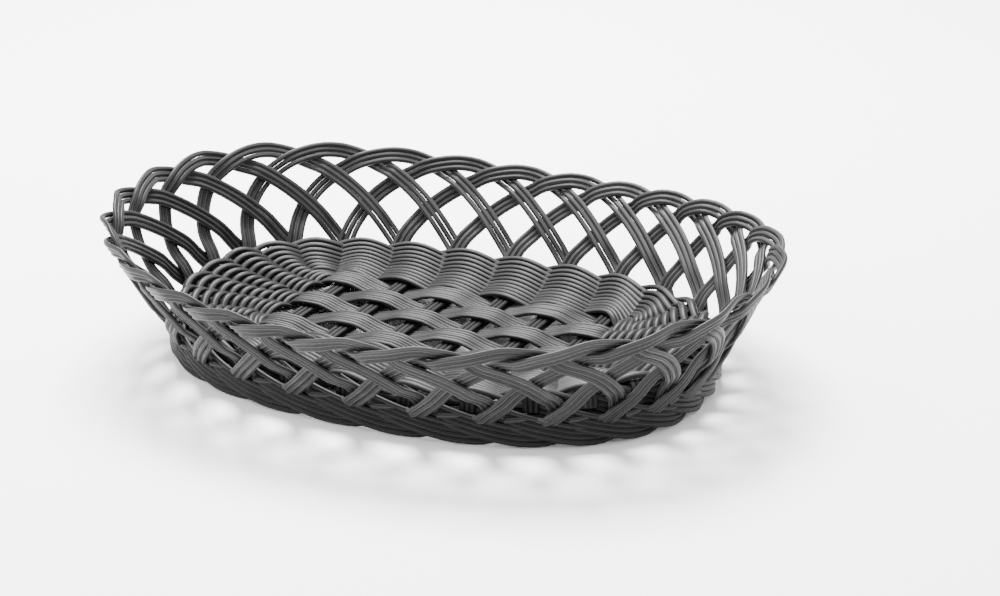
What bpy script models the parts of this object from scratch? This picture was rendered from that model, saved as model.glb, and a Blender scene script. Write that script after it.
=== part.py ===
"""Oval bread basket, woven from three-strand bundles of round plastic cane.

The base is a flat weave of long ribbons and cross bundles. Rows of weaving strand hold their ends, which fan
out to the edge. Above the edge every stake makes one loop of the open side: it rises, turns over at the rim,
falls and ends on the foot border. X runs along the basket, Y across it, Z up, and the foot stands on z = 0.
Places round the basket are counted in stakes, clockwise seen from above, from the middle of the +Y side.
"""
import math

import bmesh
import bpy
import numpy as np

# Overall sizes, in metres. The rim and the foot are measured along the middle of the bundles. The rim dips in the
# middle of the long sides, and its +X end stands lower than the other by twice the slope.
RIM_LENGTH = 0.301
RIM_WIDTH = 0.2345
RIM_HEIGHT = 0.0573
RIM_DIP = 0.0054
RIM_SLOPE = 0.0033
RIM_SQUARENESS = 2.26
FOOT_LENGTH = 0.252
FOOT_WIDTH = 0.171
FOOT_SQUARENESS = 2.35
FOOT_HEIGHT = 0.0125

# Cane and bundles.
STRAND = 0.002
STRANDS_IN_BUNDLE = 3
STRANDS_IN_RIBBON = 6
ROW_STRAND = 0.0018
CROSSING_GAP = 0.0007
CLEARANCE = 0.0003

# Base: long ribbons along X, cross bundles along Y, with a space between neighbours, then the rows. The edge of
# the base is lower in the middle of the long sides than at the ends.
LONG_RIBBONS = 5
LONG_SPACE = 0.003
CROSS_BUNDLES = 6
CROSS_SPACE = 0.020
PANEL_MARGIN = 0.004
PANEL_END_MARGIN = 0.007
BASE_HEIGHT = 0.0155
BASE_EDGE_HEIGHT = 0.0215
BASE_EDGE_DIP = 0.0025
ROWS = 11
NARROWED = 0.6

# Stakes round the edge. The first, middle and last ribbons are split along their length, so that each end of the
# basket has eight stakes. The drift is how far the weaving has pulled the stakes round, in stakes.
SPLIT_RIBBONS = (0, 2, 4)
DRIFT = -0.3
CROWDING_AT_FOOT = 0.2
CROWDING_AT_RIM = -0.1
SKEW_AT_RIM = 0.16

# The loop that each stake makes in the side, in stakes round the basket.
LOOP_LAG = -0.4
RISE_SPAN = 1.62
FALL_SPAN = 2.6
FALL_CURVE = 1.5
CROSSINGS = 4
RISE_SIDES = {4: -1, 3: 1, 2: 1, 1: -1.4}
RISE_STATIONS = 12
FALL_STATIONS = 14

BUNDLE_WIDTH = STRAND * STRANDS_IN_BUNDLE
RIBBON_WIDTH = STRAND * STRANDS_IN_RIBBON
LONG_PITCH = RIBBON_WIDTH + LONG_SPACE
CROSS_PITCH = BUNDLE_WIDTH + CROSS_SPACE
WEAVE_OFFSET = (STRAND + CROSSING_GAP) / 2
LONG_BUNDLES = LONG_RIBBONS + len(SPLIT_RIBBONS)
STAKES = 2 * (CROSS_BUNDLES + LONG_BUNDLES)
PANEL_HALF_LENGTH = (CROSS_BUNDLES - 1) / 2 * CROSS_PITCH + BUNDLE_WIDTH / 2 + PANEL_END_MARGIN
PANEL_HALF_WIDTH = (LONG_RIBBONS - 1) / 2 * LONG_PITCH + RIBBON_WIDTH / 2 + PANEL_MARGIN
DROP_INSET = WEAVE_OFFSET + STRAND + 2 * CLEARANCE
LAST_ROW_INSET = DROP_INSET + (STRAND + ROW_STRAND) / 2 + CLEARANCE
PROBE = 1e-4
UP = np.array([0.0, 0.0, 1.0])
LEVEL = np.array([1.0, 1.0, 0.0])


def clear_scene():
    for obj in list(bpy.data.objects):
        bpy.data.objects.remove(obj, do_unlink=True)


def plastic(name, shade, roughness):
    material = bpy.data.materials.new(name)
    material.use_nodes = True
    shader = material.node_tree.nodes["Principled BSDF"]
    shader.inputs["Base Color"].default_value = (shade, shade, shade, 1.0)
    shader.inputs["Roughness"].default_value = roughness
    shader.inputs["Metallic"].default_value = 0.0
    return material


def oval_point(half_length, half_width, squareness, fraction):
    """The point of a squared oval at this fraction of the way round, clockwise from its +Y side."""
    angle = np.linspace(0.0, 2 * math.pi, 1441)
    along, across = np.sin(angle), np.cos(angle)
    x = half_length * np.sign(along) * np.abs(along) ** (2 / squareness)
    y = half_width * np.sign(across) * np.abs(across) ** (2 / squareness)
    length = np.concatenate([[0.0], np.cumsum(np.hypot(np.diff(x), np.diff(y)))])
    at = (fraction % 1.0) * length[-1]
    return np.interp(at, length, x), np.interp(at, length, y)


def fraction_round(place, crowding, skew=0.0):
    """Part of the way round. Crowding spreads the stakes on the long sides, and skew moves where they are spread."""
    angle = 4 * math.pi * place / STAKES
    return place / STAKES + (crowding * math.sin(angle) + skew * math.cos(angle)) / (4 * math.pi)


def foot_point(place, inset, height):
    x, y = oval_point(
        FOOT_LENGTH / 2 - inset, FOOT_WIDTH / 2 - inset, FOOT_SQUARENESS, fraction_round(place, CROWDING_AT_FOOT)
    )
    return np.array([x, y, height])


def edge_height(place):
    """Height of the edge of the base."""
    fraction = fraction_round(place, CROWDING_AT_FOOT)
    return BASE_EDGE_HEIGHT - BASE_EDGE_DIP * math.cos(4 * math.pi * fraction)


def wall_point(place, rise):
    """A point of the flared side: rise is 0 on the foot border and 1 along the rim."""
    crowding = CROWDING_AT_FOOT + (CROWDING_AT_RIM - CROWDING_AT_FOOT) * rise
    fraction = fraction_round(place, crowding, SKEW_AT_RIM * rise)
    half_length = (FOOT_LENGTH + (RIM_LENGTH - FOOT_LENGTH) * rise) / 2
    half_width = (FOOT_WIDTH + (RIM_WIDTH - FOOT_WIDTH) * rise) / 2
    squareness = FOOT_SQUARENESS + (RIM_SQUARENESS - FOOT_SQUARENESS) * rise
    x, y = oval_point(half_length, half_width, squareness, fraction)
    rim_height = RIM_HEIGHT - RIM_DIP * math.cos(4 * math.pi * fraction)
    rim_height -= RIM_SLOPE * math.sin(2 * math.pi * fraction)
    start = FOOT_HEIGHT + CLEARANCE
    return np.array([x, y, start + (rim_height - start) * rise])


def unit(vector):
    return vector / np.linalg.norm(vector)


def wall_normal(place, rise):
    """The outward normal of the side."""
    round_step = wall_point(place + PROBE, rise) - wall_point(place - PROBE, rise)
    up_step = wall_point(place, rise + PROBE) - wall_point(place, rise - PROBE)
    return unit(np.cross(up_step, round_step))


def object_of(name, mesh, material):
    obj = bpy.data.objects.new(name, mesh)
    bpy.context.scene.collection.objects.link(obj)
    mesh.materials.append(material)
    return obj


def sweep(name, sections, material, closed=False):
    """One solid through a list of sections, each a ring of points in the same order."""
    bm = bmesh.new()
    rings = [[bm.verts.new(point) for point in section] for section in sections]
    count = len(rings[0])
    pairs = list(zip(rings, rings[1:]))
    if closed:
        pairs.append((rings[-1], rings[0]))
    for first, second in pairs:
        for i in range(count):
            bm.faces.new((first[i], first[(i + 1) % count], second[(i + 1) % count], second[i]))
    if not closed:
        bm.faces.new(rings[0][::-1])
        bm.faces.new(rings[-1])
    bmesh.ops.recalc_face_normals(bm, faces=bm.faces)
    mesh = bpy.data.meshes.new(name)
    bm.to_mesh(mesh)
    bm.free()
    return object_of(name, mesh, material)


def section(centre, side, up):
    """A rectangle about a point, with half its width and half its thickness as vectors."""
    return [centre + side + up, centre - side + up, centre - side - up, centre + side - up]


def loop_rise(turn):
    """Steps round and height of the rising leg, for a turn of 0 at the foot to 1 at the top of its arc."""
    angle = turn * math.pi / 2
    return RISE_SPAN * (1 - math.cos(angle)), math.sin(angle)


def loop_fall(run):
    return RISE_SPAN + FALL_SPAN * run, 1 - run**FALL_CURVE


def crossing_turn(steps):
    """The turn at which a rising leg meets the falling leg of the loop this many stakes before it."""
    low, high = 0.0, 1.0
    for _ in range(50):
        middle = (low + high) / 2
        around, rise = loop_rise(middle)
        fall_around = RISE_SPAN + FALL_SPAN * (1 - rise) ** (1 / FALL_CURVE) - steps
        if around < fall_around:
            low = middle
        else:
            high = middle
    return low


def weave_knots():
    """Where along a loop it crosses the others, as (place on the loop, side): -1 is the inner side."""
    knots = []
    for steps in range(CROSSINGS, 0, -1):
        knots.append((crossing_turn(steps), RISE_SIDES[steps]))
    for steps in range(1, CROSSINGS + 1):
        rise = loop_rise(crossing_turn(steps))[1]
        knots.append((1 + (1 - rise) ** (1 / FALL_CURVE), -RISE_SIDES[steps]))
    return knots


def weave_side(knots, at):
    """The side at this place on a loop: it holds near each crossing and changes over between two."""
    if at <= knots[0][0]:
        return knots[0][1]
    for (start, side), (end, next_side) in zip(knots, knots[1:]):
        if at <= end:
            blend = min(max(((at - start) / (end - start) - 0.3) / 0.4, 0.0), 1.0)
            blend = blend * blend * (3 - 2 * blend)
            return side + (next_side - side) * blend
    return knots[-1][1]


def loop_places(foot):
    """(place on the loop, place round the basket, rise) of each station."""
    places = []
    for turn in np.linspace(0.0, 1.0, RISE_STATIONS):
        around, rise = loop_rise(turn)
        places.append((turn, foot + around, rise))
    for run in np.linspace(0.0, 1.0, FALL_STATIONS)[1:]:
        around, rise = loop_fall(run)
        places.append((1 + run, foot + around, rise))
    return places


def stake_loop(number, foot, knots, material):
    places = loop_places(foot)
    centres = []
    normals = []
    for at, around, rise in places:
        normal = wall_normal(around, rise)
        if rise <= 0:
            normal = unit(normal * LEVEL)
        centres.append(wall_point(around, rise) + normal * WEAVE_OFFSET * weave_side(knots, at))
        normals.append(normal)
    sections = []
    for i, centre in enumerate(centres):
        tangent = centres[min(i + 1, len(centres) - 1)] - centres[max(i - 1, 0)]
        side = unit(np.cross(tangent, normals[i])) * BUNDLE_WIDTH / 2
        if i in (0, len(centres) - 1):
            # The two feet are cut level, just clear of the foot border.
            side = unit(np.cross(UP, normals[i])) * BUNDLE_WIDTH / 2
            side *= -1 if i else 1
        sections.append(section(centre, side, normals[i] * STRAND / 2))
    if np.dot(sections[1][0] - sections[1][1], sections[0][0] - sections[0][1]) < 0:
        sections[0] = [sections[0][i] for i in (1, 0, 3, 2)]
    if np.dot(sections[-2][0] - sections[-2][1], sections[-1][0] - sections[-1][1]) < 0:
        sections[-1] = [sections[-1][i] for i in (1, 0, 3, 2)]
    return sweep(f"side_loop_{number:02d}", sections, material)


def cross_lines():
    """The X of each cross bundle."""
    return [(i - (CROSS_BUNDLES - 1) / 2) * CROSS_PITCH for i in range(CROSS_BUNDLES)]


def ribbon_lines():
    """The Y of each long ribbon, from +Y."""
    return [((LONG_RIBBONS - 1) / 2 - i) * LONG_PITCH for i in range(LONG_RIBBONS)]


def long_bundles():
    """(name, Y, width, ribbon) of each long bundle, from +Y: a split ribbon gives two."""
    bundles = []
    for ribbon, y in enumerate(ribbon_lines()):
        if ribbon in SPLIT_RIBBONS:
            for half, offset in (("a", RIBBON_WIDTH / 4), ("b", -RIBBON_WIDTH / 4)):
                width = RIBBON_WIDTH / 2 - CLEARANCE
                bundles.append((f"long_ribbon_{ribbon + 1}_half_{half}", y + offset, width, ribbon))
        else:
            bundles.append((f"long_ribbon_{ribbon + 1}", y, RIBBON_WIDTH, ribbon))
    return bundles


class Stake:
    """One stake of the base between the woven panel and the edge, at a place round the basket."""

    def __init__(self, place, x, y, axis):
        self.inner = np.array([x, y, BASE_HEIGHT])
        self.outer = foot_point(place, LAST_ROW_INSET, edge_height(place))
        self.place = place
        self.axis = axis
        self.heading = unit((self.outer - self.inner) * LEVEL)
        self.steepness = 1 / np.linalg.norm(unit(self.outer - self.inner) * LEVEL)
        ahead = foot_point(place + PROBE, DROP_INSET, 0.0) - foot_point(place - PROBE, DROP_INSET, 0.0)
        self.border_normal = -unit(np.cross(ahead, UP))

    def at(self, row):
        return self.inner + (self.outer - self.inner) * row / ROWS

    def outward(self, row):
        """The way across a row: it turns from the bundle's own direction to square with the border."""
        part = row / ROWS
        blend = self.axis * (1 - part) ** 2 + self.heading * 2 * part * (1 - part)
        return unit(blend + self.border_normal * part**2)


def stakes_of_cross_bundle(index, x):
    """The front and back stakes of a cross bundle."""
    back = index - (CROSS_BUNDLES - 1) / 2 + DRIFT
    front = STAKES / 2 - index + (CROSS_BUNDLES - 1) / 2 + DRIFT
    axis = np.array([0.0, 1.0, 0.0])
    return Stake(front, x, -PANEL_HALF_WIDTH, -axis), Stake(back, x, PANEL_HALF_WIDTH, axis)


def stakes_of_long_bundle(index, y):
    """The left and right stakes of a long bundle."""
    right = CROSS_BUNDLES / 2 + index + 0.5 + DRIFT
    left = STAKES - CROSS_BUNDLES / 2 - index - 0.5 + DRIFT
    axis = np.array([1.0, 0.0, 0.0])
    return Stake(left, -PANEL_HALF_LENGTH, y, -axis), Stake(right, PANEL_HALF_LENGTH, y, axis)


def stake_end(stake, start_row):
    """Sections of a stake from a row of the base out to the edge and down on to the foot border."""
    side = np.cross(stake.outward(start_row), UP) * BUNDLE_WIDTH / 2
    up = UP * STRAND / 2
    drop = foot_point(stake.place, DROP_INSET, edge_height(stake.place))
    drop_side = np.cross(stake.border_normal, UP) * BUNDLE_WIDTH / 2
    sections = [section(stake.at(start_row), side, up), section(stake.outer, drop_side, up)]
    sections.append(section(drop, drop_side, up + stake.border_normal * STRAND / 2))
    landing = drop * LEVEL + UP * (FOOT_HEIGHT + CLEARANCE)
    sections.append(section(landing, drop_side, stake.border_normal * STRAND / 2))
    return sections


def woven_bundle(name, start, end, width, crossings, crossed_width, first_side, material):
    """A flat bundle through the panel, over and under what it crosses, between two stakes of the base."""
    along = end.axis
    across = np.cross(along, UP)
    up = UP * STRAND / 2
    line = start.inner - along * np.dot(start.inner, along)
    hold = crossed_width / 2 + CLEARANCE
    narrow = across * min(width, BUNDLE_WIDTH) / 2
    sections = [[ring[i] for i in (1, 0, 3, 2)] for ring in reversed(stake_end(start, NARROWED))]
    sections.append(section(start.inner, narrow, up))
    for number, crossing in enumerate(crossings):
        height = UP * WEAVE_OFFSET * first_side * (-1) ** number
        for at in (crossing - hold, crossing + hold):
            sections.append(section(line + along * at + height, across * width / 2, up))
    sections.append(section(end.inner, narrow, up))
    sections += stake_end(end, NARROWED)
    return sweep(name, sections, material)


def weaving_row(row, stakes, material):
    """A closed strand round the base, over one stake and under the next, lifted more where a stake is steep."""
    lift = (STRAND + ROW_STRAND) / 2 + CROSSING_GAP
    reach = BUNDLE_WIDTH / 2 + 2 * CLEARANCE
    sections = []
    for i, stake in enumerate(stakes):
        outward = stake.outward(row)
        along = np.cross(outward, UP)
        middle = stake.at(row) + UP * lift * stake.steepness**2 * (-1) ** (i + row)
        for step in (-reach, reach):
            sections.append(section(middle + along * step, outward * ROW_STRAND / 2, UP * ROW_STRAND / 2))
    return sweep(f"weaving_row_{row:02d}", sections, material, closed=True)


def foot_border(material):
    """The plaited border that the basket stands on, with a flat underside."""
    half = BUNDLE_WIDTH / 2
    outline = [
        (-DROP_INSET - STRAND, FOOT_HEIGHT * 0.3),
        (-DROP_INSET, 0.0),
        (half / 2, 0.0),
        (half, FOOT_HEIGHT * 0.3),
        (half, FOOT_HEIGHT * 0.75),
        (half * 0.8, FOOT_HEIGHT),
        (-DROP_INSET - STRAND / 2, FOOT_HEIGHT),
        (-DROP_INSET - STRAND, FOOT_HEIGHT * 0.75),
    ]
    sections = []
    for i in range(2 * STAKES):
        sections.append([foot_point(i / 2, -out, height) for out, height in outline])
    return sweep("foot_border", sections, material, closed=True)


def build():
    clear_scene()
    side_plastic = plastic("side_bundle_plastic", 0.085, 0.42)
    ribbon_plastic = plastic("base_ribbon_plastic", 0.1, 0.45)
    stake_plastic = plastic("base_stake_plastic", 0.08, 0.45)
    row_plastic = plastic("weaving_row_plastic", 0.095, 0.45)
    foot_plastic = plastic("foot_border_plastic", 0.06, 0.48)

    stakes = []
    for i, (name, y, width, ribbon) in enumerate(long_bundles()):
        left, right = stakes_of_long_bundle(i, y)
        woven_bundle(name, left, right, width, cross_lines(), BUNDLE_WIDTH, (-1) ** ribbon, ribbon_plastic)
        stakes += [left, right]
    for i, x in enumerate(cross_lines()):
        front, back = stakes_of_cross_bundle(i, x)
        name = f"cross_bundle_{i + 1}"
        first_side = (-1) ** (i + LONG_RIBBONS)
        lines = ribbon_lines()[::-1]
        woven_bundle(name, front, back, BUNDLE_WIDTH, lines, RIBBON_WIDTH, first_side, stake_plastic)
        stakes += [front, back]
    stakes.sort(key=lambda stake: stake.place)
    for row in range(1, ROWS + 1):
        weaving_row(row, stakes, row_plastic)
    knots = weave_knots()
    for i, stake in enumerate(stakes):
        stake_loop(i + 1, stake.place + LOOP_LAG, knots, side_plastic)
    foot_border(foot_plastic)


build()
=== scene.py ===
# %% [markdown]
# # A woven bread basket
# The basket is all one material: round plastic cane a little over 2 mm thick, laid side by side in bundles
# of three. The CAD model gives every bundle a plain solid in the right place. This script lays the real
# strands in those places, one basket maker's step at a time: the base, its rows, the foot and the open
# side.
# %% Load the frame
import collections
import math

import bpy
import mathutils
import numpy as np
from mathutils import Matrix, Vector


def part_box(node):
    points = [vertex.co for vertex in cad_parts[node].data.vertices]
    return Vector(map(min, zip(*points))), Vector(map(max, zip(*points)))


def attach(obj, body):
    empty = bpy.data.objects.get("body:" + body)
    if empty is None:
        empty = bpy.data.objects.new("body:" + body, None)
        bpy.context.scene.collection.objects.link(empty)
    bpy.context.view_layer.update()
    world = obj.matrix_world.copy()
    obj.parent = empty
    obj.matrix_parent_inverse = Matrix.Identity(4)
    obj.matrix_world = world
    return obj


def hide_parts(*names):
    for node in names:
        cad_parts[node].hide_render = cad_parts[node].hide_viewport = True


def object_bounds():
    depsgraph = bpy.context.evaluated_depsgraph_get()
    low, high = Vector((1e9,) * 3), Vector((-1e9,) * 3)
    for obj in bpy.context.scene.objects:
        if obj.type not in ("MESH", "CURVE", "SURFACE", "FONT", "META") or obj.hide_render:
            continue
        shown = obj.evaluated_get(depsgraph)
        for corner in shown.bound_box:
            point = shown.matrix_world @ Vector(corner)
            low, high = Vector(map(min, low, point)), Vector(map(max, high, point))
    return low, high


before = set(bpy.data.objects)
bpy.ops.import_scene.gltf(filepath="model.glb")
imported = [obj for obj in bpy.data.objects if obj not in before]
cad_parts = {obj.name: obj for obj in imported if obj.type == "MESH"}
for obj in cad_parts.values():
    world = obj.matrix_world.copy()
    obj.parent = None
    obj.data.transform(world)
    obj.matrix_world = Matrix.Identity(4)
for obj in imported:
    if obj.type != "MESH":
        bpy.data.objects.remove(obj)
cad_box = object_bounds()
print("nodes to stand for:", len(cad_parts))

# %% [markdown]
# ## The basket's measures
# A basket maker works from a few numbers: how long and wide the rim and the foot are, how high the rim
# stands, and how many stakes go round the edge. The lengths and widths are read from the CAD box, less the
# cane that lies outside the middle of each bundle, so the strands follow the solids they stand for. They
# could be typed in again, but then the two models could drift apart.
# %% Measures
STAKES = 28
OUTSIDE_OF_RIM = 0.0033
OUTSIDE_OF_FOOT = 0.003
RIM_SQUARENESS = 2.26
FOOT_SQUARENESS = 2.35
RIM_HEIGHT = 0.0573
RIM_DIP = 0.0054
RIM_SLOPE = 0.0033
low, high = (np.array(corner) for corner in cad_box)
foot_high = np.array(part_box("foot_border")[1])
RIM = ((high[0] - low[0]) / 2 - OUTSIDE_OF_RIM, (high[1] - low[1]) / 2 - OUTSIDE_OF_RIM, RIM_SQUARENESS)
FOOT = (foot_high[0] - OUTSIDE_OF_FOOT, foot_high[1] - OUTSIDE_OF_FOOT, FOOT_SQUARENESS)
FOOT_TOP = float(foot_high[2])
print("rim half sizes", np.round(RIM[:2], 4), "foot half sizes", np.round(FOOT[:2], 4))

# %% [markdown]
# ## Finding a place on the basket
# Both the rim and the foot are squared ovals. A place round them is counted in stakes, clockwise from
# above, starting in the middle of the far long side. At the foot the stakes stand wider apart on the long
# sides than at the ends, and at the rim it is slightly the other way round. A sine wave along the oval
# gives both. Between the foot and the rim the side is a straight flare, and the rim itself dips and slopes
# a little.
# %% Ovals and the flared side
CROWDING_AT_FOOT = 0.2
CROWDING_AT_RIM = -0.1
SKEW_AT_RIM = 0.16
OVAL_POINTS = 721
UP = np.array([0.0, 0.0, 1.0])
LEVEL = np.array([1.0, 1.0, 0.0])


def unit(vector):
    return vector / np.linalg.norm(vector)


def oval_point(half_length, half_width, squareness, fraction):
    """The point at this fraction of the way round a squared oval."""
    angle = np.linspace(0.0, 2 * math.pi, OVAL_POINTS)
    along, across = np.sin(angle), np.cos(angle)
    x = half_length * np.sign(along) * np.abs(along) ** (2 / squareness)
    y = half_width * np.sign(across) * np.abs(across) ** (2 / squareness)
    length = np.concatenate([[0.0], np.cumsum(np.hypot(np.diff(x), np.diff(y)))])
    at = (fraction % 1.0) * length[-1]
    return np.interp(at, length, x), np.interp(at, length, y)


def fraction_round(place, crowding, skew=0.0):
    angle = 4 * math.pi * place / STAKES
    return place / STAKES + (crowding * math.sin(angle) + skew * math.cos(angle)) / (4 * math.pi)


def foot_point(place, inset, height):
    x, y = oval_point(FOOT[0] - inset, FOOT[1] - inset, FOOT[2], fraction_round(place, CROWDING_AT_FOOT))
    return np.array([x, y, height])


def wall_point(place, rise):
    """The point of the flared side at this place, at a rise of 0 at the foot to 1 at the rim."""
    crowding = CROWDING_AT_FOOT + (CROWDING_AT_RIM - CROWDING_AT_FOOT) * rise
    fraction = fraction_round(place, crowding, SKEW_AT_RIM * rise)
    size = [foot + (rim - foot) * rise for foot, rim in zip(FOOT, RIM)]
    x, y = oval_point(*size, fraction)
    rim_height = RIM_HEIGHT - RIM_DIP * math.cos(4 * math.pi * fraction)
    rim_height -= RIM_SLOPE * math.sin(2 * math.pi * fraction)
    return np.array([x, y, FOOT_TOP + (rim_height - FOOT_TOP) * rise])


def wall_normal(place, rise):
    step = 1e-4
    round_step = wall_point(place + step, rise) - wall_point(place - step, rise)
    up_step = wall_point(place, rise + step) - wall_point(place, rise - step)
    return unit(np.cross(up_step, round_step))


print("middle of the far rim:", np.round(wall_point(0, 1), 4))

# %% [markdown]
# ## A guide for each bundle
# A bundle isn't drawn strand by strand. It starts as a guide: a line down its middle that also knows which way
# is outward. A few given or computed points make the line, a Catmull-Rom curve rounds it off as stiff cane
# would, and even steps along it keep the strands from bunching up their points. A guide can also swell its
# strands, from 1 for their plain thickness.
# %% Smooth guides
STEP = 0.0032
Guide = collections.namedtuple("Guide", "points outward across closed swell")


def rounded(rows, closed=False, fine=8):
    """A Catmull-Rom curve through rows of numbers, of which the first three are a point."""
    rows = np.asarray(rows, float)
    if closed:
        padded = np.vstack([rows[-1], rows, rows[0], rows[1]])
    else:
        padded = np.vstack([2 * rows[0] - rows[1], rows, 2 * rows[-1] - rows[-2]])
    t = np.linspace(0, 1, fine, endpoint=False)[:, None]
    pieces = []
    for a, b, c, d in zip(padded, padded[1:], padded[2:], padded[3:]):
        bend = 2 * b + (c - a) * t + (2 * a - 5 * b + 4 * c - d) * t**2 + (3 * b - a - 3 * c + d) * t**3
        pieces.append(bend / 2)
    if not closed:
        pieces.append(rows[-1:])
    return np.vstack(pieces)


def even_steps(rows, closed):
    if closed:
        rows = np.vstack([rows, rows[:1]])
    lengths = np.concatenate([[0.0], np.cumsum(np.linalg.norm(np.diff(rows[:, :3], axis=0), axis=1))])
    count = max(int(round(lengths[-1] / STEP)), 2)
    at = np.linspace(0, lengths[-1], count + 1)
    if closed:
        at = at[:-1]
    return np.column_stack([np.interp(at, lengths, column) for column in rows.T])


def units(rows):
    return rows / np.linalg.norm(rows, axis=1)[:, None]


def guide(rows, closed=False):
    """A rounded guide from rows of a point and its outward direction."""
    rows = even_steps(rounded(rows, closed), closed)
    points, outward = rows[:, :3], rows[:, 3:6]
    if closed:
        tangent = np.roll(points, -1, axis=0) - np.roll(points, 1, axis=0)
    else:
        tangent = np.gradient(points, axis=0)
    return Guide(points, units(outward), units(np.cross(tangent, outward)), closed, np.ones(len(points)))


print("guides are stepped every", STEP * 1000, "mm")

# %% [markdown]
# ## The cane itself, as Geometry Nodes
# Every strand is the same stuff: a round rod with fine grooves pulled along it. One node tree makes it all,
# in three steps: it repeats a guide once for each strand, draws a grooved ring, and sweeps the ring along
# the strands. Done by hand this would be thousands of edits; as a tree, it is a handful of named sizes. A
# few helpers come first, because a tree written in a script is mostly new nodes and links.
# %% Helpers for nodes
def link(tree, source, target):
    tree.links.new(source, target)


def math_node(tree, operation, first, second):
    node = tree.nodes.new("ShaderNodeMath")
    node.operation = operation
    for socket, value in zip(node.inputs, (first, second)):
        if isinstance(value, (int, float)):
            socket.default_value = value
        else:
            link(tree, value, socket)
    return node.outputs[0]


def scaled(tree, vector, factor):
    node = tree.nodes.new("ShaderNodeVectorMath")
    node.operation = "SCALE"
    link(tree, vector, node.inputs[0])
    link(tree, factor, node.inputs["Scale"])
    return node.outputs[0]


def named(tree, name, kind):
    node = tree.nodes.new("GeometryNodeInputNamedAttribute")
    node.data_type = kind
    node.inputs["Name"].default_value = name
    return node.outputs["Attribute"]


def stored(tree, geometry, name, value):
    node = tree.nodes.new("GeometryNodeStoreNamedAttribute")
    node.data_type = "FLOAT"
    node.domain = "POINT"
    node.inputs["Name"].default_value = name
    link(tree, geometry, node.inputs["Geometry"])
    link(tree, value, node.inputs["Value"])
    return node.outputs["Geometry"]


def moved(tree, geometry, offset):
    node = tree.nodes.new("GeometryNodeSetPosition")
    link(tree, geometry, node.inputs["Geometry"])
    link(tree, offset, node.inputs["Offset"])
    return node.outputs["Geometry"]


print("a step of arithmetic is one", bpy.types.ShaderNodeMath.bl_rna.name, "node")

# %% [markdown]
# ## Strands side by side
# A bundle is one guide, repeated. Each copy moves sideways to its place, and a slow noise lets it stray a
# little, as real cane does. The noise is read at another slice for each strand, so that no two stray alike.
# Each strand also gets a tone of its own, which the material makes a lighter or darker shade.
# %% Place the strands
STRAY_SCALE = 34.0
SLICE_STEP = 3.7
TONE_STEP = 31
TONE_START = 5


def strays(tree, given, strand):
    """How far a strand strays sideways and outward."""
    noise = tree.nodes.new("ShaderNodeTexNoise")
    noise.noise_dimensions = "4D"
    noise.inputs["Scale"].default_value = STRAY_SCALE
    noise.inputs["Detail"].default_value = 0.0
    link(tree, tree.nodes.new("GeometryNodeInputPosition").outputs[0], noise.inputs["Vector"])
    slice_at = math_node(tree, "ADD", math_node(tree, "MULTIPLY", strand, SLICE_STEP), given["Seed"])
    link(tree, slice_at, noise.inputs["W"])
    parts = tree.nodes.new("ShaderNodeSeparateXYZ")
    link(tree, noise.outputs["Color"], parts.inputs[0])
    centred = [math_node(tree, "SUBTRACT", part, 0.5) for part in (parts.outputs[0], parts.outputs[1])]
    return [math_node(tree, "MULTIPLY", part, given["Wander"]) for part in centred]


def placed_strands(tree, given):
    """The strands as curves in their places, each with its tone."""
    to_curve = tree.nodes.new("GeometryNodeMeshToCurve")
    link(tree, given["Geometry"], to_curve.inputs["Mesh"])
    copies = tree.nodes.new("GeometryNodeDuplicateElements")
    copies.domain = "SPLINE"
    link(tree, to_curve.outputs["Curve"], copies.inputs["Geometry"])
    link(tree, given["Strands"], copies.inputs["Amount"])
    strand = copies.outputs["Duplicate Index"]
    middle = math_node(tree, "DIVIDE", math_node(tree, "SUBTRACT", given["Strands"], 1), 2)
    place = math_node(tree, "MULTIPLY", math_node(tree, "SUBTRACT", strand, middle), given["Spacing"])
    sideways, outward = strays(tree, given, strand)
    offset = tree.nodes.new("ShaderNodeVectorMath")
    offset.operation = "ADD"
    reach = math_node(tree, "ADD", place, sideways)
    link(tree, scaled(tree, named(tree, "across", "FLOAT_VECTOR"), reach), offset.inputs[0])
    link(tree, scaled(tree, named(tree, "outward", "FLOAT_VECTOR"), outward), offset.inputs[1])
    in_place = moved(tree, copies.outputs["Geometry"], offset.outputs[0])
    tone = tree.nodes.new("FunctionNodeRandomValue")
    tone.data_type = "FLOAT"
    which = math_node(tree, "ADD", math_node(tree, "MULTIPLY", strand, TONE_STEP), TONE_START)
    link(tree, which, tone.inputs["ID"])
    link(tree, given["Seed"], tone.inputs["Seed"])
    return stored(tree, in_place, "tone", tone.outputs[1])


print("strands stray over a stretch of about", round(1000 / STRAY_SCALE), "mm")

# %% [markdown]
# ## The grooved ring
# Seen from its end, a strand is a ring with a few small notches, pressed a little flat by its neighbours.
# The ring has three points for each groove, and the first of the three is pulled inwards, so a groove costs
# only a few faces. Bump in a material could fake the grooves, but their edges catch the light better as real
# shape. Where the grooves lie is stored too, because the material paints shade into them.
# %% Draw the ring
POINTS_TO_GROOVE = 3


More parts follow.
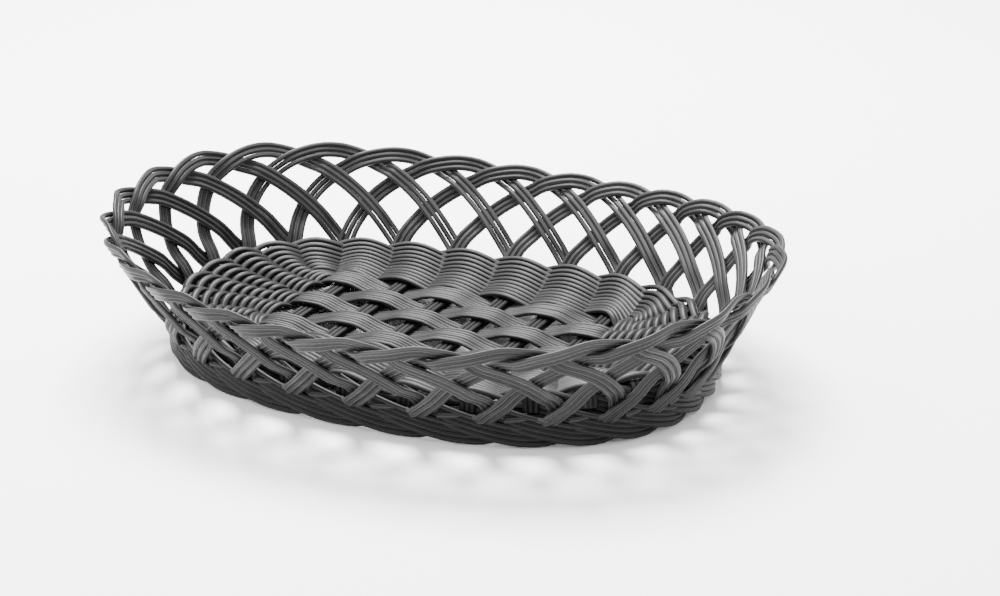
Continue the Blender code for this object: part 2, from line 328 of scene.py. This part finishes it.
def grooved_ring(tree, given):
    """The ring that is swept along a strand. Its Y is the way that the guide calls outward."""
    radius = math_node(tree, "DIVIDE", given["Cane"], 2)
    ring = tree.nodes.new("GeometryNodeCurvePrimitiveCircle")
    link(tree, math_node(tree, "MULTIPLY", given["Grooves"], POINTS_TO_GROOVE), ring.inputs["Resolution"])
    link(tree, radius, ring.inputs["Radius"])
    index = tree.nodes.new("GeometryNodeInputIndex").outputs[0]
    deep = math_node(tree, "LESS_THAN", math_node(tree, "MODULO", index, POINTS_TO_GROOVE), 0.5)
    inward = math_node(tree, "DIVIDE", math_node(tree, "MULTIPLY", deep, given["Groove depth"]), radius)
    position = tree.nodes.new("GeometryNodeInputPosition").outputs[0]
    dent = scaled(tree, position, math_node(tree, "MULTIPLY", inward, -1))
    carved = moved(tree, ring.outputs["Curve"], dent)
    press = tree.nodes.new("ShaderNodeCombineXYZ")
    press.inputs["X"].default_value = 1.0
    press.inputs["Z"].default_value = 1.0
    link(tree, given["Thin"], press.inputs["Y"])
    flatten = tree.nodes.new("GeometryNodeTransform")
    link(tree, carved, flatten.inputs["Geometry"])
    link(tree, press.outputs[0], flatten.inputs["Scale"])
    return stored(tree, flatten.outputs["Geometry"], "groove", deep)


print("points to a groove:", POINTS_TO_GROOVE)

# %% [markdown]
# ## Sweep the ring along the strands
# The sweep turns each strand's curve into a closed rod. The guide says which way is across the bundle, so
# the flattened ring never rolls over on its way, and the guide's swell makes a rod thicker where it should
# be. The tree ends in real geometry and a material, because a piece has to leave this file as a plain mesh.
# %% The strand tree
CANE = 0.0024
SPACING = 0.0023
THIN = 0.82
TREE_INPUTS = {
    "Strands": ("NodeSocketInt", 3),
    "Cane": ("NodeSocketFloat", CANE),
    "Thin": ("NodeSocketFloat", THIN),
    "Spacing": ("NodeSocketFloat", SPACING),
    "Grooves": ("NodeSocketInt", 6),
    "Groove depth": ("NodeSocketFloat", 0.00015),
    "Wander": ("NodeSocketFloat", 0.0003),
    "Seed": ("NodeSocketInt", 1),
    "Material": ("NodeSocketMaterial", None),
}


def strand_tree():
    tree = bpy.data.node_groups.new("Lay strands", "GeometryNodeTree")
    tree.interface.new_socket("Geometry", in_out="INPUT", socket_type="NodeSocketGeometry")
    for name, (kind, value) in TREE_INPUTS.items():
        socket = tree.interface.new_socket(name, in_out="INPUT", socket_type=kind)
        if value is not None:
            socket.default_value = value
    tree.interface.new_socket("Geometry", in_out="OUTPUT", socket_type="NodeSocketGeometry")
    given = tree.nodes.new("NodeGroupInput").outputs
    result = tree.nodes.new("NodeGroupOutput")
    facing = tree.nodes.new("GeometryNodeSetCurveNormal")
    facing.mode = "FREE"
    link(tree, placed_strands(tree, given), facing.inputs["Curve"])
    link(tree, named(tree, "across", "FLOAT_VECTOR"), facing.inputs["Normal"])
    sweep = tree.nodes.new("GeometryNodeCurveToMesh")
    link(tree, facing.outputs["Curve"], sweep.inputs["Curve"])
    link(tree, grooved_ring(tree, given), sweep.inputs["Profile Curve"])
    link(tree, named(tree, "swell", "FLOAT"), sweep.inputs["Scale"])
    sweep.inputs["Fill Caps"].default_value = True
    real = tree.nodes.new("GeometryNodeRealizeInstances")
    link(tree, sweep.outputs["Mesh"], real.inputs[0])
    finish = tree.nodes.new("GeometryNodeSetMaterial")
    link(tree, real.outputs[0], finish.inputs["Geometry"])
    link(tree, given["Material"], finish.inputs["Material"])
    link(tree, finish.outputs[0], result.inputs[0])
    return tree


STRAND_TREE = strand_tree()
print("tree inputs:", ", ".join(TREE_INPUTS))

# %% [markdown]
# ## From guides to a finished piece
# The guides of a piece become one mesh of bare edges, which carries its directions and swell as attributes.
# The tree is put on it as a modifier, evaluated once, and the result kept as a plain mesh, so that each
# piece can leave this file as it is. Each piece rides on the basket's one body and stands for the CAD solid
# it replaces.
# %% Lay strands along guides
def guide_object(name, guides):
    edges = []
    start = 0
    for line in guides:
        count = len(line.points)
        edges += [(start + i, start + i + 1) for i in range(count - 1)]
        if line.closed:
            edges.append((start + count - 1, start))
        start += count
    mesh = bpy.data.meshes.new(name + "_guide")
    mesh.from_pydata(np.vstack([line.points for line in guides]).tolist(), edges, [])
    for attribute in ("outward", "across"):
        values = np.vstack([getattr(line, attribute) for line in guides]).astype(np.float32)
        mesh.attributes.new(attribute, "FLOAT_VECTOR", "POINT").data.foreach_set("vector", values.ravel())
    swell = np.concatenate([line.swell for line in guides])
    mesh.attributes.new("swell", "FLOAT", "POINT").data.foreach_set("value", swell)
    piece = bpy.data.objects.new(name, mesh)
    bpy.context.scene.collection.objects.link(piece)
    return piece


def lay_strands(name, guides, material, slot, nodes, **sizes):
    """Makes a finished piece, with any of the tree's sizes changed, in place of these CAD nodes."""
    piece = guide_object(name, guides)
    modifier = piece.modifiers.new("Lay strands", "NODES")
    modifier.node_group = STRAND_TREE
    values = {"Material": material, **sizes}
    for item in STRAND_TREE.interface.items_tree:
        if item.in_out == "INPUT" and item.name in values:
            modifier[item.identifier] = values[item.name]
    graph = bpy.context.evaluated_depsgraph_get()
    finished = bpy.data.meshes.new_from_object(piece.evaluated_get(graph))
    piece.modifiers.clear()
    piece.data = finished
    finished.shade_smooth()
    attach(piece, "root")
    if nodes:
        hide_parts(*nodes)
    return piece


inputs = [item for item in STRAND_TREE.interface.items_tree if item.in_out == "INPUT"]
print("sizes are set by identifier:", {item.name: item.identifier for item in inputs})

# %% [markdown]
# ## Satin plastic
# The cane is dark grey plastic with a soft sheen. What makes it read as cane is small: the grooves get painted
# shade, each strand came off the roll slightly lighter or darker, and the skin is faintly uneven. All the
# materials need those three effects, so they are one shader group, and each material gives it a shade.
# %% The cane finish
FINISH_INPUTS = {"Shade": 0.05, "Groove shadow": 0.4, "Strand contrast": 0.3, "Roughness": 0.4}
FINISH_OUTPUTS = {"Color": "NodeSocketColor", "Roughness": "NodeSocketFloat", "Height": "NodeSocketFloat"}
PATCH_SCALE = 55
PATCH_CONTRAST = 0.35
SHEEN_SCALE = 900
SHEEN_CHANGE = 0.16
GRAIN_SCALE = 1600
GROOVE_ROUGHNESS = 0.15


def finish_group():
    group = bpy.data.node_groups.new("Cane finish", "ShaderNodeTree")
    for name, value in FINISH_INPUTS.items():
        group.interface.new_socket(name, in_out="INPUT", socket_type="NodeSocketFloat").default_value = value
    for name, kind in FINISH_OUTPUTS.items():
        group.interface.new_socket(name, in_out="OUTPUT", socket_type=kind)
    given = group.nodes.new("NodeGroupInput").outputs
    result = group.nodes.new("NodeGroupOutput").inputs
    place = group.nodes.new("ShaderNodeTexCoord").outputs["Object"]

    def attribute(name):
        node = group.nodes.new("ShaderNodeAttribute")
        node.attribute_name = name
        return node.outputs["Fac"]

    def grain(scale, detail):
        node = group.nodes.new("ShaderNodeTexNoise")
        node.inputs["Scale"].default_value = scale
        node.inputs["Detail"].default_value = detail
        link(group, place, node.inputs["Vector"])
        return node.outputs["Fac"]

    def uneven(value, change):
        return math_node(group, "MULTIPLY", math_node(group, "SUBTRACT", value, 0.5), change)

    groove = attribute("groove")
    tone = uneven(attribute("tone"), given["Strand contrast"])
    patches = uneven(grain(PATCH_SCALE, 2), PATCH_CONTRAST)
    light = math_node(group, "ADD", math_node(group, "ADD", tone, patches), 1)
    shade = math_node(group, "MULTIPLY", given["Shade"], light)
    # Painted shade in the grooves: the colour is darkened where the ring's groove points lie.
    kept = math_node(group, "SUBTRACT", 1, math_node(group, "MULTIPLY", groove, given["Groove shadow"]))
    colour = group.nodes.new("ShaderNodeCombineColor")
    final = math_node(group, "MULTIPLY", shade, kept)
    for channel in colour.inputs[:3]:
        link(group, final, channel)
    sheen = math_node(group, "ADD", given["Roughness"], uneven(grain(SHEEN_SCALE, 3), SHEEN_CHANGE))
    rough = math_node(group, "ADD", sheen, math_node(group, "MULTIPLY", groove, GROOVE_ROUGHNESS))
    link(group, colour.outputs[0], result["Color"])
    link(group, rough, result["Roughness"])
    link(group, grain(GRAIN_SCALE, 2), result["Height"])
    return group


FINISH = finish_group()
print("finish inputs:", ", ".join(FINISH_INPUTS))

# %% [markdown]
# ## A shade for each job
# The side and the cut ends get the lightest shade, the panel a darker one, and the rows, the foot and above
# all the cross bundles the darkest. The side's lighter shade is painted light, as the side faces the light
# most, and the darker shades are painted shade, because little light reaches down between them. The shine is
# low, as on plastic that is ribbed and not polished. Six materials from one function keep them a family.
# %% Materials
BUMP_STRENGTH = 0.25
BUMP_DISTANCE = 0.00012
SHINE = 0.1


def cane_material(name, shade, roughness, groove_shadow=0.75, contrast=0.7):
    material = bpy.data.materials.new(name)
    material.use_nodes = True
    tree = material.node_tree
    shader = tree.nodes["Principled BSDF"]
    finish = tree.nodes.new("ShaderNodeGroup")
    finish.node_tree = FINISH
    finish.inputs["Shade"].default_value = shade
    finish.inputs["Groove shadow"].default_value = groove_shadow
    finish.inputs["Strand contrast"].default_value = contrast
    finish.inputs["Roughness"].default_value = roughness
    bump = tree.nodes.new("ShaderNodeBump")
    bump.inputs["Strength"].default_value = BUMP_STRENGTH
    bump.inputs["Distance"].default_value = BUMP_DISTANCE
    link(tree, finish.outputs["Color"], shader.inputs["Base Color"])
    link(tree, finish.outputs["Roughness"], shader.inputs["Roughness"])
    link(tree, finish.outputs["Height"], bump.inputs["Height"])
    link(tree, bump.outputs["Normal"], shader.inputs["Normal"])
    shader.inputs["Specular IOR Level"].default_value = SHINE
    return material


# Painted light and shade: the side's shade is raised for the light it faces, and the cross, row and foot
# shades are lowered as painted shade for the little light that reaches them.
SIDE_CANE = cane_material("side_cane", 0.034, 0.34)
BASE_CANE = cane_material("base_cane", 0.024, 0.38, contrast=1.0)
CROSS_CANE = cane_material("cross_cane", 0.008, 0.46)
ROW_CANE = cane_material("row_cane", 0.015, 0.38)
FOOT_CANE = cane_material("foot_cane", 0.015, 0.42)
CUT_CANE = cane_material("cut_cane", 0.04, 0.45)
print("materials:", [m.name for m in bpy.data.materials if m.name.endswith("cane")])

# %% [markdown]
# ## The lines of the base
# The middle of the base is a plain weave: five long ribbons go over and under six cross bundles. A long
# ribbon is two bundles of three strands side by side, and a cross bundle is two layers of three strands.
# Every other long ribbon parts into two stakes past the panel, and the rest lay one bundle on the other, so
# that each end has eight stakes. With the twelve of the cross bundles that makes 28. The stakes leave the
# panel straight and fan out to the edge, which a curve with one control point gives.
# %% Stakes of the base
LONG_PITCH = 0.015
CROSS_PITCH = 0.026
CROSS_BUNDLES = 6
LONG_RIBBONS = 5
SPLIT_RIBBONS = (0, 2, 4)
PANEL_X = 0.0735
PANEL_Y = 0.0375
BASE_HEIGHT = 0.0158
EDGE_HEIGHT = 0.0215
EDGE_DIP = 0.0026
EDGE_INSET = 0.0062
DRIFT = -0.3
FAN_REACH = 0.4
NEARBY = 0.01


def edge_height(place):
    """The edge of the base is lower in the middle of the long sides than at the ends."""
    return EDGE_HEIGHT - EDGE_DIP * math.cos(4 * math.pi * fraction_round(place, CROWDING_AT_FOOT))


class Stake:
    """The stretch of a bundle from the panel to the edge of the base."""

    def __init__(self, place, x, y, axis, layers):
        self.place = place
        self.axis = np.array(axis)
        self.layers = layers
        self.inner = np.array([x, y, BASE_HEIGHT])
        self.outer = foot_point(place, EDGE_INSET, edge_height(place))
        self.heading = unit((self.outer - self.inner) * LEVEL)
        ahead = foot_point(place + NEARBY, EDGE_INSET, 0.0) - foot_point(place - NEARBY, EDGE_INSET, 0.0)
        self.border_normal = -unit(np.cross(ahead, UP))

    def at(self, part):
        """The point at this part of the way, from 0 at the panel to 1 at the last row."""
        control = self.inner + self.axis * FAN_REACH * np.linalg.norm(self.outer - self.inner)
        return self.inner * (1 - part) ** 2 + control * 2 * part * (1 - part) + self.outer * part**2

    def outward(self, part):
        blend = self.axis * (1 - part) ** 2 + self.heading * 2 * part * (1 - part)
        return unit(blend + self.border_normal * part**2)


def cross_stakes(index, x):
    back = index - (CROSS_BUNDLES - 1) / 2 + DRIFT
    front = STAKES / 2 - index + (CROSS_BUNDLES - 1) / 2 + DRIFT
    return Stake(front, x, -PANEL_Y, (0.0, -1.0, 0.0), 2), Stake(back, x, PANEL_Y, (0.0, 1.0, 0.0), 2)


def long_stakes(index, y, layers):
    right = CROSS_BUNDLES / 2 + index + 0.5 + DRIFT
    left = STAKES - CROSS_BUNDLES / 2 - index - 0.5 + DRIFT
    left_stake = Stake(left, -PANEL_X, y, (-1.0, 0.0, 0.0), layers)
    return left_stake, Stake(right, PANEL_X, y, (1.0, 0.0, 0.0), layers)


cross_lines = [(i - (CROSS_BUNDLES - 1) / 2) * CROSS_PITCH for i in range(CROSS_BUNDLES)]
ribbon_lines = [((LONG_RIBBONS - 1) / 2 - i) * LONG_PITCH for i in range(LONG_RIBBONS)]
print("cross bundles at", np.round(cross_lines, 3), "ribbons at", np.round(ribbon_lines, 3))

# %% [markdown]
# ## A bundle from edge to edge
# A flat ribbon lies on the bundle it crosses in a long bulge and slips under the next in a short dip, and
# two powers of a cosine give that. The cross bundles are pulled tight and hardly bend, so the long ribbons
# do nearly all the weaving. At the edge of the base every bundle turns down behind the side. Computing the
# line means that the order of over and under is right at every crossing, and that a new pitch moves all of
# them.
# %% Guides of the base
LONG_BEND = 0.0028
CROSS_BEND = 0.0001
CROSS_LOW = 0.0007
OVER_POWER = 0.5
UNDER_POWER = 1.6
PAST_LAST_LINE = 0.25
STAKE_PARTS = (0.07, 0.2, 0.4, 0.6, 0.8, 1.0)
GATHERED_AT = 0.2
TURN_OUT = 0.0028
TURN_DROP = 0.0012
TAIL_OUT = 0.0036
TAIL_OUT_BY_LAYER = 0.0005
TAIL_DROP = 0.0058


def weave_height(at, lines, bend):
    """Height of a bundle where it crosses these lines. It starts over the first if its bend is above 0."""
    wave = math.copysign(1.0, bend) * math.cos(math.pi * (at - lines[0]) / (lines[1] - lines[0]))
    return abs(bend) * (max(wave, 0.0) ** OVER_POWER - max(-wave, 0.0) ** UNDER_POWER)


def stake_rows(stake, sideways, layer):
    """Rows of a bundle's guide from the panel to just over the edge, beginning this far aside of its stake."""
    rows = []
    for part in STAKE_PARTS:
        gather = min(part / GATHERED_AT, 1.0)
        side = np.cross(stake.outward(part), UP)
        point = stake.at(part) + side * sideways * (1 - gather) + UP * layer * CANE / 2 * gather
        rows.append(np.concatenate([point, UP]))
    normal = stake.border_normal
    turn = stake.outer + normal * TURN_OUT + UP * (layer * CANE / 2 - TURN_DROP)
    rows.append(np.concatenate([turn, unit(UP + normal)]))
    tail = stake.outer + normal * (TAIL_OUT + layer * TAIL_OUT_BY_LAYER) - UP * TAIL_DROP
    rows.append(np.concatenate([tail, normal]))
    return rows


def bundle_guide(start, end, sideways, layer, lines, bend, lift=0.0):
    """The guide of three strands from one edge of the base to the other."""
    along = end.axis
    middle = start.inner - along * np.dot(start.inner, along)
    middle_line = middle + np.cross(along, UP) * sideways
    overrun = abs(lines[1] - lines[0]) * PAST_LAST_LINE
    panel = []
    for at in np.linspace(min(lines) - overrun, max(lines) + overrun, 4 * len(lines) - 1):
        point = middle_line + along * at + UP * (weave_height(at, lines, bend) + lift)
        panel.append(np.concatenate([point, UP]))
    return guide(stake_rows(start, -sideways, layer)[::-1] + panel + stake_rows(end, sideways, layer))


print("a ribbon bends", LONG_BEND * 1000, "mm to each side of its middle height")

# %% [markdown]
# ## Weave the panel
# The ribbons go in first, from the far one to the near one, each on the other side from its neighbour, and
# then the cross bundles. Each bundle also leaves its two stakes behind for the rows to clasp. A split
# ribbon is two pieces, as its halves part company, and a whole one is one piece of two bundles.
# %% Lay ribbons and cross bundles
HALF_RIBBON = 1.5 * SPACING
BASE_WANDER = 0.0006
WHOLE = [("", "", 0.0, 2, [(-HALF_RIBBON, -1), (HALF_RIBBON, 1)])]
SPLIT = [("a", "_half_a", HALF_RIBBON, 1, [(0.0, 0)]), ("b", "_half_b", -HALF_RIBBON, 1, [(0.0, 0)])]
stakes = []
number = 0
for ribbon, y in enumerate(ribbon_lines):
    bend = LONG_BEND * (-1) ** ribbon
    for letter, half, offset, layers, bundles in SPLIT if ribbon in SPLIT_RIBBONS else WHOLE:
        left, right = long_stakes(number, y + offset, layers)
        guides = [bundle_guide(left, right, aside, layer, cross_lines, bend) for aside, layer in bundles]
        lay_strands(f"ribbon_{ribbon + 1}{letter}", guides, BASE_CANE, "base_ribbon",
                    [f"long_ribbon_{ribbon + 1}{half}"], Wander=BASE_WANDER, Seed=10 + number)
        stakes += [left, right]
        number += 1
for i, x in enumerate(cross_lines):
    front, back = cross_stakes(i, x)
    bend = CROSS_BEND * (-1) ** (i + LONG_RIBBONS)
    guides = []
    for layer in (-1, 1):
        lift = layer * CANE * THIN / 2 - CROSS_LOW
        guides.append(bundle_guide(front, back, 0.0, layer, ribbon_lines[::-1], bend, lift))
    lay_strands(f"cross_{i + 1}", guides, CROSS_CANE, "base_cross_bundle", [f"cross_bundle_{i + 1}"],
                Seed=30 + i)
    stakes += [front, back]
stakes.sort(key=lambda stake: stake.place)
print("stakes round the base:", len(stakes))

# %% [markdown]
# ## Twined rows
# A row is two strands that cross between every two stakes, so each stake is clasped from above and below.
# Seen from the stake, each strand of the pair runs a stretched helix: over, in, under, out. The first rows
# take the two halves of a split ribbon as one stake, because the halves still lie side by side there. A
# helix is a formula, so the guide is computed and not drawn. The strands swell a little at the two ends of
# the base, where the rows stand further apart.
# %% Twine the rows
ROWS = 11
ROWS_BEFORE_SPLIT = 3
ROW_START = 0.45
ROW_CANE_SIZE = 0.0031
ROW_THIN = 0.75
STAKE_PRESSED = 0.6
END_SWELL = 0.25
END_REACH = 0.02
TURN_STEPS = 9


def clasped(row):
    """(position, outward, half thickness) of each stake that a row clasps."""
    part = (row - ROW_START) / (ROWS - ROW_START)
    found = []
    waiting = None
    for stake in stakes:
        here = (stake.at(part), stake.outward(part), stake.layers * CANE / 2)
        if row > ROWS_BEFORE_SPLIT or stake.layers == 2:
            found.append(here)
        elif waiting is None:
            waiting = here
        else:
            found.append(((waiting[0] + here[0]) / 2, unit(waiting[1] + here[1]), here[2]))
            waiting = None
    return found


def row_guides(row):
    held = [np.concatenate([point, outward, [half]]) for point, outward, half in clasped(row)]
    line = rounded(held, closed=True, fine=TURN_STEPS)
    outward = units(line[:, 3:6])
    swell = 1 + END_SWELL * np.clip((np.abs(line[:, 0]) - PANEL_X) / END_REACH, 0, 1)
    guides = []
    for strand in (0, 1):
        phase = math.pi * (np.arange(len(line)) / TURN_STEPS + strand)
        lift = (line[:, 6] * STAKE_PRESSED + ROW_CANE_SIZE / 2 * swell) * np.cos(phase)
        swing = -ROW_CANE_SIZE / 2 * swell * np.sin(phase)
        points = line[:, :3] + outward * swing[:, None] + UP * lift[:, None]
        tangent = np.roll(points, -1, axis=0) - np.roll(points, 1, axis=0)
        guides.append(Guide(points, np.tile(UP, (len(points), 1)), units(np.cross(tangent, UP)), True, swell))
    return guides


for row in range(1, ROWS + 1):
    lay_strands(f"twined_row_{row:02d}", row_guides(row), ROW_CANE, "weaving_row", [f"weaving_row_{row:02d}"],
                Strands=1, Cane=ROW_CANE_SIZE, Thin=ROW_THIN, Seed=50 + row)
print("rows twined:", ROWS)

# %% [markdown]
# ## Binding under the edge
# The stakes turn down at the edge of the base, and three more strands go round the outside of the turn.
# They close the gap between the base and the foot, so the table doesn't show through the open side. Each
# strand lies in front of one stake and behind the next, and the strand below it does the opposite.
# %% Bind the edge
BINDING = [(0.0035, 0.0052), (0.0060, 0.0046), (0.0084, 0.0042)]
BINDING_THIN = 0.9
IN_AND_OUT = 0.0011
binding_guides = []
for turn, (drop, inset) in enumerate(BINDING):
    rows = []
    for i, stake in enumerate(stakes):
        side = IN_AND_OUT * (-1) ** (i + turn)
        point = foot_point(stake.place, inset, edge_height(stake.place) - drop) + stake.border_normal * side
        rows.append(np.concatenate([point, stake.border_normal]))
    binding_guides.append(guide(rows, closed=True))
lay_strands("edge_binding", binding_guides, ROW_CANE, "weaving_row", ["weaving_row_11"], Strands=1,
            Cane=ROW_CANE_SIZE, Thin=BINDING_THIN, Seed=70)
print("binding strands:", len(binding_guides))

# %% [markdown]
# ## The foot
# Below the side the stakes are plaited into the border that the basket stands on. Each leaves the edge of the
# base, comes out between two stakes, runs down and back along the outside, turns under, and rises on the
# inside of its neighbours to start its loop. The route is a short list of places: stakes round, height and
# distance out. The same list serves every stake.
# %% Plait the foot
LOOP_LAG = -0.4
FOOT_ROUTE = [
    (2.50, 0.0175, -0.0052),
    (2.25, 0.0158, -0.0028),
    (1.90, 0.0134, -0.0002),
    (1.50, 0.0106, 0.0008),
    (1.10, 0.0080, 0.0010),
    (0.75, 0.0060, 0.0006),
    (0.45, 0.0051, -0.0006),
    (0.20, 0.0050, -0.0020),
    (0.00, 0.0068, -0.0028),
]


def border_rows(foot, route):
    rows = []
    for around, height, out in route:
        normal = unit(wall_normal(foot + around, 0.0) * LEVEL)
        rows.append(np.concatenate([foot_point(foot + around, 0.0, height) + normal * out, normal]))
    return rows


feet = [stake.place + LOOP_LAG for stake in stakes]
foot_guides = [guide(border_rows(foot, FOOT_ROUTE)) for foot in feet]
foot_plait = lay_strands("foot_plait", foot_guides, FOOT_CANE, "foot_border", ["foot_border"], Strands=4,
                         Seed=90)
print("foot plait triangles:", sum(len(p.vertices) - 2 for p in foot_plait.data.polygons))

# %% [markdown]
# ## The open side
# Each stake makes one loop of the side. From its foot it rises as a quarter of an ellipse, turns over at
# the rim, and falls more slowly to the foot again, about four stakes on. On its way it crosses four other
# loops twice. The sides on which it passes them repeat for every stake, and that is what locks the side
# together. Where two loops cross follows from their curves, so it is found by halving and not measured.
# %% The loop and its crossings
RISE_SPAN = 1.62
FALL_SPAN = 2.6
FALL_CURVE = 1.5
RISE_SIDES = {4: -1.0, 3: 1.0, 2: 1.0, 1: -1.4}
HELD = 0.25
HALVINGS = 40


def loop_rise(turn):
    angle = turn * math.pi / 2
    return RISE_SPAN * (1 - math.cos(angle)), math.sin(angle)


def loop_fall(run):
    return RISE_SPAN + FALL_SPAN * run, 1 - run**FALL_CURVE


def crossing_turn(steps):
    """Where a loop, on its way up, meets the falling part of the loop this many stakes before it."""
    low_turn, high_turn = 0.0, 1.0
    for _ in range(HALVINGS):
        turn = (low_turn + high_turn) / 2
        around, rise = loop_rise(turn)
        if around < RISE_SPAN + FALL_SPAN * (1 - rise) ** (1 / FALL_CURVE) - steps:
            low_turn = turn
        else:
            high_turn = turn
    return low_turn


def weave_knots():
    """(way along the loop, side) of its eight crossings: from 0 to 1 going up, and to 2 coming down."""
    knots = [(crossing_turn(steps), RISE_SIDES[steps]) for steps in (4, 3, 2, 1)]
    for steps in (1, 2, 3, 4):
        rise = loop_rise(crossing_turn(steps))[1]
        knots.append((1 + (1 - rise) ** (1 / FALL_CURVE), -RISE_SIDES[steps]))
    return knots


def weave_side(knots, at):
    """The side at this way along: held near each crossing, and changed smoothly between two."""
    if at <= knots[0][0]:
        return knots[0][1]
    for (start, side), (end, next_side) in zip(knots, knots[1:]):
        if at <= end:
            blend = min(max(((at - start) / (end - start) - HELD) / (1 - 2 * HELD), 0.0), 1.0)
            return side + (next_side - side) * blend * blend * (3 - 2 * blend)
    return knots[-1][1]


KNOTS = weave_knots()
print("crossings on the way up and down:", [(round(at, 2), side) for at, side in KNOTS])

# %% [markdown]
# ## Weave the side
# Every loop is a row of points on the flared side, moved a strand's half thickness out or in by the side on
# which it passes its neighbours. It starts in the foot and its end is tucked back in there. Twenty-eight
# turns of one loop are less work than drawing a woven band, and a change to the loop reaches all of them.
# %% Lay the loops
SIDE_CANE_SIZE = 0.0027
SIDE_SPACING = 0.97 * SIDE_CANE_SIZE
SIDE_WANDER = 0.0005
LAY = 0.00125
RISE_POINTS = 20
FALL_POINTS = 26
START_ROUTE = [(0.0, 0.0066, -0.0028)]
TUCK_ROUTE = [(0.12, 0.0105, 0.0002), (0.28, 0.0085, -0.0022)]


def side_rows(foot):
    way = [(turn, *loop_rise(turn)) for turn in np.linspace(0.0, 1.0, RISE_POINTS)]
    way += [(1 + run, *loop_fall(run)) for run in np.linspace(0.0, 1.0, FALL_POINTS)[1:]]
    rows = border_rows(foot, START_ROUTE)
    for at, around, rise in way:
        normal = wall_normal(foot + around, rise)
        point = wall_point(foot + around, rise) + normal * LAY * weave_side(KNOTS, at)
        rows.append(np.concatenate([point, normal]))
    return rows + border_rows(foot + RISE_SPAN + FALL_SPAN, TUCK_ROUTE)


for i, foot in enumerate(feet):
    lay_strands(f"side_bundle_{i + 1:02d}", [guide(side_rows(foot))], SIDE_CANE, "side_bundle",
                [f"side_loop_{i + 1:02d}"], Cane=SIDE_CANE_SIZE, Spacing=SIDE_SPACING, Wander=SIDE_WANDER,
                Seed=100 + i)
print("loops laid:", len(feet))

# %% [markdown]
# ## Cut ends
# Where a bundle's strands arrive at the foot and only some go on, the spare ones are cut off. The ends show
# as short, slightly lighter stubs above the plait. They are laid with the same tree, one strand at a time,
# and stand for no CAD solid.
# %% Cut ends
CUT_ROUTE = [(0.48, 0.0136, -0.0004), (0.68, 0.0134, 0.0012), (0.88, 0.0128, 0.0012)]
end_guides = [guide(border_rows(foot, CUT_ROUTE)) for foot in feet]
lay_strands("cut_ends", end_guides, CUT_CANE, "foot_border", [], Strands=1, Seed=7)
print("cut ends:", len(end_guides))

# %% [markdown]
# ## Table and light
# The basket stands on a white table in a white room, whose even light comes from the world. A soft box high
# behind it makes the tops of the strands catch the light, and a weak one on the left fills the near side.
# More lamps would make more shadows on the table than a plain studio has.
# %% Table and light
TABLE_REACH = 6.0
TABLE_WHITE = (0.9, 0.9, 0.9, 1.0)
TABLE_ROUGHNESS = 0.7
ROOM_WHITE = (1.0, 1.0, 1.0, 1.0)
ROOM_LIGHT = 1.9
MIDDLE_OF_BASKET = (0, 0, 0.03)


def area_light(name, position, size, power):
    """A square soft box that faces the basket."""
    lamp = bpy.data.lights.new(name, "AREA")
    lamp.size = size
    lamp.energy = power
    holder = bpy.data.objects.new(name, lamp)
    holder.location = position
    direction = (np.array(MIDDLE_OF_BASKET) - np.array(position)).tolist()
    holder.rotation_euler = mathutils.Vector(direction).to_track_quat("-Z", "Y").to_euler()
    bpy.context.scene.collection.objects.link(holder)


table_mesh = bpy.data.meshes.new("table")
corners = [(x * TABLE_REACH, y * TABLE_REACH, 0) for x, y in ((-1, -1), (1, -1), (1, 1), (-1, 1))]
table_mesh.from_pydata(corners, [], [(0, 1, 2, 3)])
table = bpy.data.objects.new("table", table_mesh)
bpy.context.scene.collection.objects.link(table)
white = bpy.data.materials.new("white_table")
white.use_nodes = True
white.node_tree.nodes["Principled BSDF"].inputs["Base Color"].default_value = TABLE_WHITE
white.node_tree.nodes["Principled BSDF"].inputs["Roughness"].default_value = TABLE_ROUGHNESS
table_mesh.materials.append(white)

world = bpy.data.worlds.new("studio")
bpy.context.scene.world = world
world.use_nodes = True
world.node_tree.nodes["Background"].inputs["Color"].default_value = ROOM_WHITE
world.node_tree.nodes["Background"].inputs["Strength"].default_value = ROOM_LIGHT
area_light("key", position=(-0.35, 0.55, 1.2), size=0.7, power=120)
area_light("fill", position=(-0.9, -0.8, 0.9), size=0.8, power=16)
print("lamps:", [lamp.name for lamp in bpy.data.lights])

# %% [markdown]
# ## Camera
# The camera looks down on the near long side from its right, with a long lens from about a metre away, so
# the far side isn't much smaller than the near one.
# %% Camera
AZIMUTH = 0.4241
ELEVATION = 0.3663
camera = bpy.data.cameras.new("camera")
camera.lens = 79.2
camera.sensor_width = 36.0
viewer = bpy.data.objects.new("camera", camera)
viewer.location = (0.4030, -0.8285, 0.3822)
viewer.rotation_euler = (math.pi / 2 - ELEVATION, 0.0, AZIMUTH)
bpy.context.scene.collection.objects.link(viewer)
bpy.context.scene.camera = viewer
print("camera's distance:", round(viewer.location.length, 3), "m")
